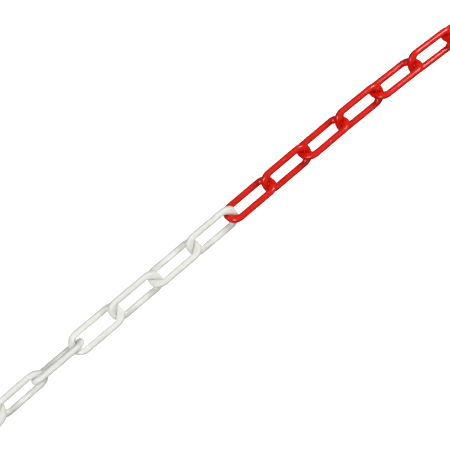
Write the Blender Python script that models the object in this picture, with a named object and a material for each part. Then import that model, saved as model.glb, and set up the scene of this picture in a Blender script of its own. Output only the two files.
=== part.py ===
"""Plastic barrier chain: oblong links of round wire, the first ten white and the last ten red.

The chain lies along +X with its lowest points on z = 0 and its middle at the origin.
Every link is one object. A link's origin is on the wire that it swings about.
"""

import math

import bpy
import numpy as np
from mathutils import Matrix, Vector

# One link, in metres
WIRE_DIAMETER = 0.006
LINK_LENGTH = 0.0555  # outside, from crown to crown
LINK_WIDTH = 0.0255  # outside, across the two straight bars
CROWN_FLAT = 0.0029  # straight stretch in the middle of each crown
WIRE_RESOLUTION = 4  # gives the wire twelve sides
CORNER_STEPS = 5  # straight pieces in each quarter turn

# The run of links
LINK_COUNT = 20
FIRST_RED_LINK = 11
ROOT_LINK = 10  # both halves of the chain swing outward from this link
GAP = 0.0003  # between the wires of two hooked links

# How the links are turned about the chain, in degrees
ROLL = 45.0
TWISTED_ROLLS = {5: 55.0, 6: -79.0, 7: -33.0}  # three links of a half-made twist
TWIST_CROSSINGS = (5, 6)  # crossings between links 5 and 6, and 6 and 7
SEARCH_STEP = 0.00005  # fineness of the search for how far those crossings are pushed together

# Crossings where the chain turns a little to the right, and the turn at each, in degrees
BEND_CROSSINGS = (5, 13, 14, 15, 16)
BEND = 1.0

# Plastic
WHITE = (0.86, 0.86, 0.82, 1.0)
RED = (0.78, 0.02, 0.02, 1.0)
ROUGHNESS = 0.35

WIRE_RADIUS = WIRE_DIAMETER / 2
BAR_OFFSET = LINK_WIDTH / 2 - WIRE_RADIUS  # from the link's middle to a bar's middle
CROWN_OFFSET = LINK_LENGTH / 2 - WIRE_RADIUS  # from the link's middle to a crown's middle
CORNER_RADIUS = BAR_OFFSET - CROWN_FLAT / 2  # of the wire's middle line
WIRE_SIDES = 4 + 2 * WIRE_RESOLUTION
SIDE_TURN = 2 * math.pi / WIRE_SIDES  # from one edge of the many-sided wire to the next


def clear_scene():
    """Remove every object, so that the script can be run again in an open file."""
    for obj in list(bpy.data.objects):
        bpy.data.objects.remove(obj, do_unlink=True)


def make_collection(name):
    """Return the collection with this name, linked to the scene."""
    collection = bpy.data.collections.get(name) or bpy.data.collections.new(name)
    if name not in bpy.context.scene.collection.children:
        bpy.context.scene.collection.children.link(collection)
    return collection


def make_material(name, colour):
    """Return a plain glossy plastic."""
    material = bpy.data.materials.get(name) or bpy.data.materials.new(name)
    material.use_nodes = True
    shader = material.node_tree.nodes["Principled BSDF"]
    shader.inputs["Base Color"].default_value = colour
    shader.inputs["Roughness"].default_value = ROUGHNESS
    shader.inputs["Metallic"].default_value = 0.0
    material.diffuse_color = colour
    return material


def link_roll(number):
    """Turn of a link about the chain: each link is turned the other way from the one before."""
    if number in TWISTED_ROLLS:
        return math.radians(TWISTED_ROLLS[number])
    before_twist = number < min(TWISTED_ROLLS)
    turned_left = (number % 2 == 1) if before_twist else (number % 2 == 0)
    return math.radians(ROLL if turned_left else -ROLL)


def wire_path():
    """Points along the middle of the wire: four rounded corners joined by bars and crowns."""
    corner = Vector((CROWN_OFFSET - CORNER_RADIUS, BAR_OFFSET - CORNER_RADIUS, 0.0))
    points = []
    for quarter, (side_x, side_y) in enumerate(((1, 1), (-1, 1), (-1, -1), (1, -1))):
        for step in range(CORNER_STEPS + 1):
            angle = math.pi / 2 * (quarter + step / CORNER_STEPS)
            arc = CORNER_RADIUS * Vector((math.cos(angle), math.sin(angle), 0.0))
            points.append(Vector((side_x * corner.x, side_y * corner.y, 0.0)) + arc)
    return points


def fine_path():
    """The wire's middle line as an array of points less than a twentieth of a wire apart."""
    path = [np.array(point) for point in wire_path()]
    pieces = []
    for start, end in zip(path, path[1:] + path[:1]):
        count = math.ceil(np.linalg.norm(end - start) / (WIRE_DIAMETER / 20))
        shares = np.arange(count)[:, None] / count
        pieces.append(start + shares * (end - start))
    return np.concatenate(pieces)


def twist_slack(turn):
    """Least slack that keeps GAP between two hooked links with this turn between them."""
    path = fine_path()
    bow = path[path[:, 0] > 0]
    cos_turn, sin_turn = math.cos(turn), math.sin(turn)
    roll = np.array(((1, 0, 0), (0, cos_turn, sin_turn), (0, -sin_turn, cos_turn)))
    hooked = (bow * (-1.0, 1.0, 1.0)) @ roll
    clear = WIRE_DIAMETER + GAP
    for slack in np.arange(0.0, CROWN_OFFSET / 2, SEARCH_STEP):
        apart = hooked + (2 * CROWN_OFFSET - clear - slack, 0.0, 0.0)
        if np.linalg.norm(bow[:, None] - apart[None], axis=2).min() >= clear:
            return slack
    raise ValueError("the wire is too thick to pass through a link at this turn")


def crossing_slack(crossing):
    """How far the crossing between links crossing and crossing + 1 is pushed together."""
    if crossing not in TWIST_CROSSINGS:
        return 0.0
    return twist_slack(link_roll(crossing + 1) - link_roll(crossing))


def resting_height(roll):
    """Height of a link's middle when its lower bar lies on the floor."""
    from_edge = (abs(roll) + SIDE_TURN / 2) % SIDE_TURN - SIDE_TURN / 2
    return BAR_OFFSET * abs(math.sin(roll)) + WIRE_RADIUS * math.cos(from_edge)


def chain_grips():
    """How far a crown's middle reaches past each crossing; the chain's two ends have none."""
    grips = [0.0] * (LINK_COUNT + 1)
    for crossing in range(1, LINK_COUNT):
        grips[crossing] = (WIRE_DIAMETER + GAP + crossing_slack(crossing)) / 2
    return grips


def chain_heights(grips):
    """Height of each crossing: the chain climbs to where a twisted link stands on edge."""
    heights = [resting_height(math.radians(ROLL))] * (LINK_COUNT + 1)
    first = TWIST_CROSSINGS[0]
    for crossing in TWIST_CROSSINGS:
        heights[crossing] = resting_height(link_roll(first + 1))
    climb = 2 * CROWN_OFFSET - grips[first - 1] - grips[first]
    share = (CORNER_RADIUS - grips[first - 1]) / climb
    bar_height = resting_height(link_roll(first))
    heights[first - 1] = (bar_height - share * heights[first]) / (1 - share)
    return heights


def link_heading(number):
    """Direction of a link seen from above; the root link points along +X."""
    turns = sum(1 for crossing in BEND_CROSSINGS if ROOT_LINK <= crossing < number)
    turns -= sum(1 for crossing in BEND_CROSSINGS if number <= crossing < ROOT_LINK)
    return math.radians(-BEND * turns)


def chain_matrices(grips):
    """Place of every link's middle, with the whole chain centred on the origin."""
    heights = chain_heights(grips)
    matrices = {}
    crossing_point = Vector((0.0, 0.0, heights[0]))
    for number in range(1, LINK_COUNT + 1):
        before = CROWN_OFFSET - grips[number - 1]
        after = CROWN_OFFSET - grips[number]
        slope = -math.asin((heights[number] - heights[number - 1]) / (before + after))
        slant = Matrix.Rotation(link_heading(number), 4, "Z") @ Matrix.Rotation(slope, 4, "Y")
        centre = crossing_point + slant @ Vector((before, 0.0, 0.0))
        roll = Matrix.Rotation(link_roll(number), 4, "X")
        matrices[number] = Matrix.Translation(centre) @ slant @ roll
        crossing_point = centre + slant @ Vector((after, 0.0, 0.0))
    wires = [matrix @ point for matrix in matrices.values() for point in wire_path()]
    shift = Vector((0.0, 0.0, 0.0))
    for axis in (0, 1):
        values = [point[axis] for point in wires]
        shift[axis] = -(min(values) + max(values)) / 2
    return {number: Matrix.Translation(shift) @ matrix for number, matrix in matrices.items()}


def make_link(number, matrix, origin, material, collection):
    """Make one link as a closed round wire whose object origin is at the given world point."""
    name = f"link_{number:02d}"
    curve = bpy.data.curves.new(name, "CURVE")
    curve.dimensions = "3D"
    curve.bevel_depth = WIRE_RADIUS
    curve.bevel_resolution = WIRE_RESOLUTION
    offset = matrix.inverted() @ origin
    path = wire_path()
    spline = curve.splines.new("POLY")
    spline.points.add(len(path) - 1)
    for target, point in zip(spline.points, path):
        target.co = (*(point - offset), 1.0)
    spline.use_cyclic_u = True
    curve.materials.append(material)
    link = bpy.data.objects.new(name, curve)
    link.matrix_world = Matrix.Translation(origin) @ matrix.to_3x3().to_4x4()
    collection.objects.link(link)
    return link


def swing_point(number, matrices, grips):
    """Point that a link swings about: its inner neighbour's crown, or a twisted crossing."""
    if number == ROOT_LINK:
        return matrices[number].to_translation()
    side = 1 if number > ROOT_LINK else -1
    inner = number - side
    crossing = min(number, inner)
    back = grips[crossing] if crossing in TWIST_CROSSINGS else 0.0
    return matrices[inner] @ Vector((side * (CROWN_OFFSET - back), 0.0, 0.0))


def hook_to(link, inner):
    """Parent a link to the neighbour it swings on, without moving it."""
    place = link.matrix_world.copy()
    link.parent = inner
    link.matrix_parent_inverse = inner.matrix_world.inverted()
    link.matrix_world = place


def build_chain():
    """Make all the links and hook each one to its neighbour nearer the root link."""
    collection = make_collection("plastic_barrier_chain")
    white = make_material("white_plastic", WHITE)
    red = make_material("red_plastic", RED)
    grips = chain_grips()
    matrices = chain_matrices(grips)
    links = {}
    for number, matrix in matrices.items():
        material = red if number >= FIRST_RED_LINK else white
        origin = swing_point(number, matrices, grips)
        links[number] = make_link(number, matrix, origin, material, collection)
    bpy.context.view_layer.update()
    for number in range(ROOT_LINK + 1, LINK_COUNT + 1):
        hook_to(links[number], links[number - 1])
    for number in range(ROOT_LINK - 1, 0, -1):
        hook_to(links[number], links[number + 1])


clear_scene()
build_chain()
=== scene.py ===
"""Looks of a plastic barrier chain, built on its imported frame.

Every CAD link is replaced by a finer one in the same place: smooth round wire that is thicker
on the inner side of its corners, the faint line where the two halves of the mould met, and the
small round mark left by the gate.
"""

import math

import bpy
import numpy as np
from mathutils import Matrix, Vector


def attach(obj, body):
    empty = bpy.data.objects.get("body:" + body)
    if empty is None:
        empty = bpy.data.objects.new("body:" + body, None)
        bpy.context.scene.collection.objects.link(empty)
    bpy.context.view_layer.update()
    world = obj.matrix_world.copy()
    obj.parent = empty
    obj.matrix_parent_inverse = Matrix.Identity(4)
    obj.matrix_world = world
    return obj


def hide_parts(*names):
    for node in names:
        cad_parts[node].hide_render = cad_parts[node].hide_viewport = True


# Camera: above the chain, leaning towards its white end
TARGET = Vector((-0.0112, 0.0043, 0.010))
CAMERA_DISTANCE = 0.655
CAMERA_TILT = math.radians(6.3)
CAMERA_LEAN = math.radians(-0.36)
CAMERA_ROLL = math.radians(40.26)
LENS = 60.07
SENSOR = 36.0

# The run of links
LINK_COUNT = 20
FIRST_RED_LINK = 11

# Wire, in metres; the rest of a link's shape is measured on its CAD node
CROWN_FLAT = 0.0029  # straight stretch in the middle of each crown
CORNER_STEPS = 16  # straight pieces in each quarter turn
CORNER_MARGIN = 0.0003  # straight wire kept close to both ends of a corner
CROWN_FILL = 0.0001  # extra thickness on the inner side of a crown
CORNER_FILL = 0.0015  # and halfway round a corner
FILL_SPREAD = 0.7  # below one, the corner's fill spreads towards the bar and the crown
BARE_ENDS = {5: (1,), 6: (-1, 1), 7: (-1,)}  # ends jammed in the twist, with no room for fill
SECTION_STEP = math.radians(15)  # around the wire

# Marks left by the mould, which opened at 45 degrees to every link
MOULD_TURN = math.radians(45)
PARTING_HEIGHT = 0.00008  # of the ridge above a bar; it fades out towards the crowns
PARTING_FOOT = math.radians(4)  # from the top of the ridge to its foot
GATE_STEPS = 6  # from the middle of the gate's mark to its foot
GATE_DISTANCES = (0.0, 0.0003, 0.0008, 0.0011, 0.0014)  # from the middle of the mark
GATE_HEIGHTS = (0.00018, 0.00036, 0.00038, 0.00028, 0.0)  # above the wire, at those distances

# Plastics
WHITE = (0.85, 0.85, 0.81, 1.0)
WHITE_SHADE = (0.82, 0.82, 0.778, 1.0)
WHITE_GLOW = 1.0  # share of the light that spreads inside the plastic
WHITE_ROUGHNESS = 0.38
RED = (0.77, 0.0095, 0.002, 1.0)
RED_SHADE = (0.71, 0.0075, 0.001, 1.0)
RED_GLOW = 0.0
RED_ROUGHNESS = 0.17
GLOW_RADIUS = 0.004  # how far light spreads inside the plastic
ROUGHNESS_SPAN = 0.05  # either side of the mean
REFRACTION = 1.5
CLOUD_SCALE = 90.0  # of the colour, in noise cells to the metre
CLOUD_DETAIL = 3.0
CLOUD_SPAN = (0.35, 0.65)  # part of the noise that goes from one colour to the other
SCUFF_SCALE = 400.0  # of the gloss
SCUFF_DETAIL = 4.0
SCUFF_SPAN = (0.3, 0.7)  # part of the noise that goes from smooth to rough
PEEL_SCALE = 1500.0  # of the orange peel
PEEL_DETAIL = 2.0
PEEL_DEPTH = 0.00003
PEEL_STRENGTH = 0.2

# Room
FLOOR_SIZE = 12.0
FLOOR_DROP = 0.25  # below the level that the chain lies at, so that links can swing down
WALL_HEIGHT = 6.0
FLOOR_COLOUR = (0.9, 0.9, 0.9, 1.0)
FLOOR_ROUGHNESS = 0.9
FLOOR_GLOW = 1.1  # floor and walls glow like a light table
DOME = 0.4  # brightness of the surrounding overhead
PIT = 0.1  # and from the horizon down
LIGHTS = {  # name: (position, side of the square, brightness, whether the gloss shows it)
    "softbox_red_end": ((0.95, 0.03, 1.05), 0.58, 12.0, True),
    "softbox_white_end": ((-1.20, 0.10, 0.95), 0.66, 8.0, True),
    "light_table": ((0.0, 0.0, -0.6), 0.5, 8.0, False),
}


def make_camera():
    """Look down on the chain with a tilt along it, and turn the picture so that it rises."""
    turn = Matrix.Rotation(-CAMERA_TILT, 4, "Y")
    turn @= Matrix.Rotation(-CAMERA_LEAN, 4, "X")
    turn @= Matrix.Rotation(-CAMERA_ROLL, 4, "Z")
    data = bpy.data.cameras.new("camera")
    data.sensor_width = SENSOR
    data.lens = LENS
    data.clip_start = 0.01
    camera = bpy.data.objects.new("camera", data)
    back = turn @ Vector((0.0, 0.0, CAMERA_DISTANCE))
    camera.matrix_world = Matrix.Translation(TARGET + back) @ turn
    bpy.context.scene.collection.objects.link(camera)
    bpy.context.scene.camera = camera


def link_frame(name):
    """Place of a CAD link (x along it, y across it and upwards, z square to it) and half sizes."""
    points = np.array([vertex.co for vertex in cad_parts[name].data.vertices])
    points = np.unique(points.round(6), axis=0)
    centre = points.mean(axis=0)
    _, axes = np.linalg.eigh(np.cov((points - centre).T))
    along = axes[:, 2] * np.sign(axes[0, 2])
    across = axes[:, 1] * np.sign(axes[2, 1])
    turn = np.stack((along, across, np.cross(along, across)), axis=1)
    half_sizes = np.abs((points - centre) @ turn).max(axis=0)
    return Matrix.Translation(centre) @ Matrix(turn).to_4x4(), half_sizes.tolist()


def inner_fill(angle):
    """Extra thickness on the inner side of the wire, at an angle round a corner."""
    crown_fill = CROWN_FILL * abs(math.cos(angle))
    return crown_fill + (CORNER_FILL - crown_fill) * abs(math.sin(2 * angle)) ** FILL_SPREAD


def wire_stations(half_length, half_width, radius, bare_ends):
    """Middle of the wire, direction out of the link and inner fill, all the way round a link."""
    corner_radius = half_width - radius - CROWN_FLAT / 2
    corner = Vector((half_length - radius - corner_radius, CROWN_FLAT / 2, 0.0))
    stations = []
    for quarter, (side_x, side_y) in enumerate(((1, 1), (-1, 1), (-1, -1), (1, -1))):
        for step in range(-1, CORNER_STEPS + 2):
            turned = min(max(step, 0), CORNER_STEPS)
            angle = math.pi / 2 * (quarter + turned / CORNER_STEPS)
            outward = Vector((math.cos(angle), math.sin(angle), 0.0))
            onward = Vector((-math.sin(angle), math.cos(angle), 0.0))
            middle = Vector((side_x * corner.x, side_y * corner.y, 0.0))
            middle += corner_radius * outward + (step - turned) * CORNER_MARGIN * onward
            fill = 0.0 if side_x in bare_ends else inner_fill(angle)
            stations.append((middle, outward, fill))
        if quarter == 0:
            stations += gate_stations(half_width - radius)
    return stations


def gate_stations(bar_offset):
    """Close stations in the middle of the upper bar, where the gate's mark is."""
    step = GATE_DISTANCES[-1] / GATE_STEPS
    places = [-index * step for index in range(-GATE_STEPS - 1, GATE_STEPS + 2)]
    return [(Vector((place, bar_offset, 0.0)), Vector((0.0, 1.0, 0.0)), 0.0) for place in places]


def section_turns(radius):
    """Angles around the wire from the parting line, closer together at its ridges and the gate."""
    steps = round(math.pi / SECTION_STEP)
    gate_turn = GATE_DISTANCES[-1] / radius
    half = [0.0, PARTING_FOOT, math.pi - PARTING_FOOT]
    even = np.arange(1, steps) * SECTION_STEP
    half += [turn for turn in even if abs(turn - math.pi / 2) > gate_turn]
    half += (math.pi / 2 + np.linspace(-gate_turn, gate_turn, 2 * GATE_STEPS + 1)).tolist()
    half = sorted(half)
    return half + [turn + math.pi for turn in half]


def wire_point(station, turn, radius):
    """Point of the wire's surface at a turn from the outward direction."""
    middle, outward, fill = station
    reach = radius + fill * max(0.0, -math.cos(turn))
    return middle + reach * (math.cos(turn) * outward + math.sin(turn) * Vector((0, 0, 1)))


def mark_height(point, gate):
    """Height of the gate's mark above the wire at this point."""
    return float(np.interp((point - gate).length, GATE_DISTANCES, GATE_HEIGHTS))


def wire_mesh(half_length, half_width, radius, mould_turn, bare_ends):
    """Vertices and faces of the closed round wire, with its parting line and gate mark."""
    stations = wire_stations(half_length, half_width, radius, bare_ends)
    turns = section_turns(radius)
    ridges = (0, len(turns) // 2)
    bar = (Vector((0.0, half_width - radius, 0.0)), Vector((0.0, 1.0, 0.0)), 0.0)
    gate = wire_point(bar, mould_turn, radius)
    points = []
    for station in stations:
        parting = -math.atan(station[1].y * math.tan(mould_turn))
        ridge = PARTING_HEIGHT * abs(station[1].y)
        for index, turn in enumerate(turns):
            height = ridge if index in ridges else 0.0
            height += mark_height(wire_point(station, parting + turn, radius), gate)
            points.append(wire_point(station, parting + turn, radius + height))
    faces = []
    for ring in range(len(stations)):
        here, there = ring * len(turns), (ring + 1) % len(stations) * len(turns)
        for index in range(len(turns)):
            after = (index + 1) % len(turns)
            faces.append((here + index, there + index, there + after, here + after))
    return points, faces


def make_link(number, material):
    """Make one link in the place of its CAD node."""
    name = f"link_{number:02d}"
    place, (half_length, half_width, radius) = link_frame(name)
    mould_turn = MOULD_TURN if number % 2 == 0 else -MOULD_TURN
    bare_ends = BARE_ENDS.get(number, ())
    points, faces = wire_mesh(half_length, half_width, radius, mould_turn, bare_ends)
    mesh = bpy.data.meshes.new(f"moulded_{name}")
    mesh.from_pydata(points, [], faces)
    mesh.shade_smooth()
    mesh.materials.append(material)
    link = bpy.data.objects.new(f"moulded_{name}", mesh)
    link.matrix_world = place
    bpy.context.scene.collection.objects.link(link)
    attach(link, name)
    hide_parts(name)


def add_noise(nodes, links, vector, scale, detail):
    """Return the value output of a noise texture."""
    noise = nodes.new("ShaderNodeTexNoise")
    noise.inputs["Scale"].default_value = scale
    noise.inputs["Detail"].default_value = detail
    links.new(vector, noise.inputs["Vector"])
    return noise.outputs["Fac"]


def add_range(nodes, links, value, low, high, to_low, to_high):
    """Return a value with the span low to high mapped to another span."""
    span = nodes.new("ShaderNodeMapRange")
    span.inputs["From Min"].default_value = low
    span.inputs["From Max"].default_value = high
    span.inputs["To Min"].default_value = to_low
    span.inputs["To Max"].default_value = to_high
    links.new(value, span.inputs["Value"])
    return span.outputs["Result"]


def make_plastic(name, colour, shade, glow, roughness):
    """Return a moulded polyethylene with cloudy colour, uneven gloss and a fine orange peel."""
    material = bpy.data.materials.new(name)
    material.use_nodes = True
    nodes, links = material.node_tree.nodes, material.node_tree.links
    shader = nodes["Principled BSDF"]
    shader.inputs["IOR"].default_value = REFRACTION
    shader.inputs["Subsurface Weight"].default_value = glow
    shader.inputs["Subsurface Radius"].default_value = (1.0, 1.0, 1.0)
    shader.inputs["Subsurface Scale"].default_value = GLOW_RADIUS
    place = nodes.new("ShaderNodeTexCoord").outputs["Object"]
    cloud = add_noise(nodes, links, place, CLOUD_SCALE, CLOUD_DETAIL)
    mix = nodes.new("ShaderNodeMix")
    mix.data_type = "RGBA"
    mix.inputs["A"].default_value = colour
    mix.inputs["B"].default_value = shade
    links.new(add_range(nodes, links, cloud, *CLOUD_SPAN, 0.0, 1.0), mix.inputs["Factor"])
    links.new(mix.outputs["Result"], shader.inputs["Base Color"])
    scuff = add_noise(nodes, links, place, SCUFF_SCALE, SCUFF_DETAIL)
    smooth, rough = roughness - ROUGHNESS_SPAN, roughness + ROUGHNESS_SPAN
    gloss = add_range(nodes, links, scuff, *SCUFF_SPAN, smooth, rough)
    links.new(gloss, shader.inputs["Roughness"])
    bump = nodes.new("ShaderNodeBump")
    bump.inputs["Distance"].default_value = PEEL_DEPTH
    bump.inputs["Strength"].default_value = PEEL_STRENGTH
    peel = add_noise(nodes, links, place, PEEL_SCALE, PEEL_DETAIL)
    links.new(peel, bump.inputs["Height"])
    links.new(bump.outputs["Normal"], shader.inputs["Normal"])
    return material


def make_floor():
    """Lay a plain pale floor below the chain, with far walls that hide the horizon."""
    half = FLOOR_SIZE / 2
    corners = [(-half, -half), (half, -half), (half, half), (-half, half)]
    points = [(*corner, height) for height in (-FLOOR_DROP, WALL_HEIGHT) for corner in corners]
    walls = [(side, side + 4, (side + 1) % 4 + 4, (side + 1) % 4) for side in range(4)]
    mesh = bpy.data.meshes.new("floor")
    mesh.from_pydata(points, [], [(0, 1, 2, 3)] + walls)
    floor = bpy.data.objects.new("floor", mesh)
    bpy.context.scene.collection.objects.link(floor)
    material = bpy.data.materials.new("floor")
    material.use_nodes = True
    shader = material.node_tree.nodes["Principled BSDF"]
    shader.inputs["Base Color"].default_value = FLOOR_COLOUR
    shader.inputs["Roughness"].default_value = FLOOR_ROUGHNESS
    shader.inputs["Specular IOR Level"].default_value = 0.0
    shader.inputs["Emission Color"].default_value = FLOOR_COLOUR
    shader.inputs["Emission Strength"].default_value = FLOOR_GLOW
    mesh.materials.append(material)
    floor.visible_diffuse = False
    floor.visible_glossy = False
    floor.visible_shadow = False


def make_lights():
    """Place soft square lights over both ends of the chain and under the floor."""
    for name, (position, side, brightness, in_gloss) in LIGHTS.items():
        data = bpy.data.lights.new(name, "AREA")
        data.size = side
        data.energy = brightness * math.pi * side**2
        light = bpy.data.objects.new(name, data)
        light.rotation_euler = (-Vector(position)).to_track_quat("-Z", "Y").to_euler()
        light.location = position
        light.visible_glossy = in_gloss
        bpy.context.scene.collection.objects.link(light)


def make_world():
    """Surround the chain with a dome of light that fades towards the horizon."""
    world = bpy.data.worlds.new("studio")
    world.use_nodes = True
    nodes, links = world.node_tree.nodes, world.node_tree.links
    split = nodes.new("ShaderNodeSeparateXYZ")
    links.new(nodes.new("ShaderNodeTexCoord").outputs["Generated"], split.inputs["Vector"])
    bright = add_range(nodes, links, split.outputs["Z"], 0.0, 1.0, PIT, DOME)
    links.new(bright, nodes["Background"].inputs["Strength"])
    nodes["Background"].inputs["Color"].default_value = (1.0, 1.0, 1.0, 1.0)
    bpy.context.scene.world = world


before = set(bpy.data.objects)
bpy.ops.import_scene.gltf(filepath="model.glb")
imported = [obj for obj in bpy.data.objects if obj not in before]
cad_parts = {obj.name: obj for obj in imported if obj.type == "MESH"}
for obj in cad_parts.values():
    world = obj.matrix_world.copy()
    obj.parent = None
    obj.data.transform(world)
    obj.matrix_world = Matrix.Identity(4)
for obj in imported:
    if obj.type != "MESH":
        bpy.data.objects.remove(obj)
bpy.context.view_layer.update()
make_camera()
white = make_plastic("white_polyethylene", WHITE, WHITE_SHADE, WHITE_GLOW, WHITE_ROUGHNESS)
red = make_plastic("red_polyethylene", RED, RED_SHADE, RED_GLOW, RED_ROUGHNESS)
for link_number in range(1, LINK_COUNT + 1):
    if link_number < FIRST_RED_LINK:
        make_link(link_number, white)
    else:
        make_link(link_number, red)
make_floor()
make_lights()
make_world()
bpy.context.scene.view_settings.view_transform = "Standard"
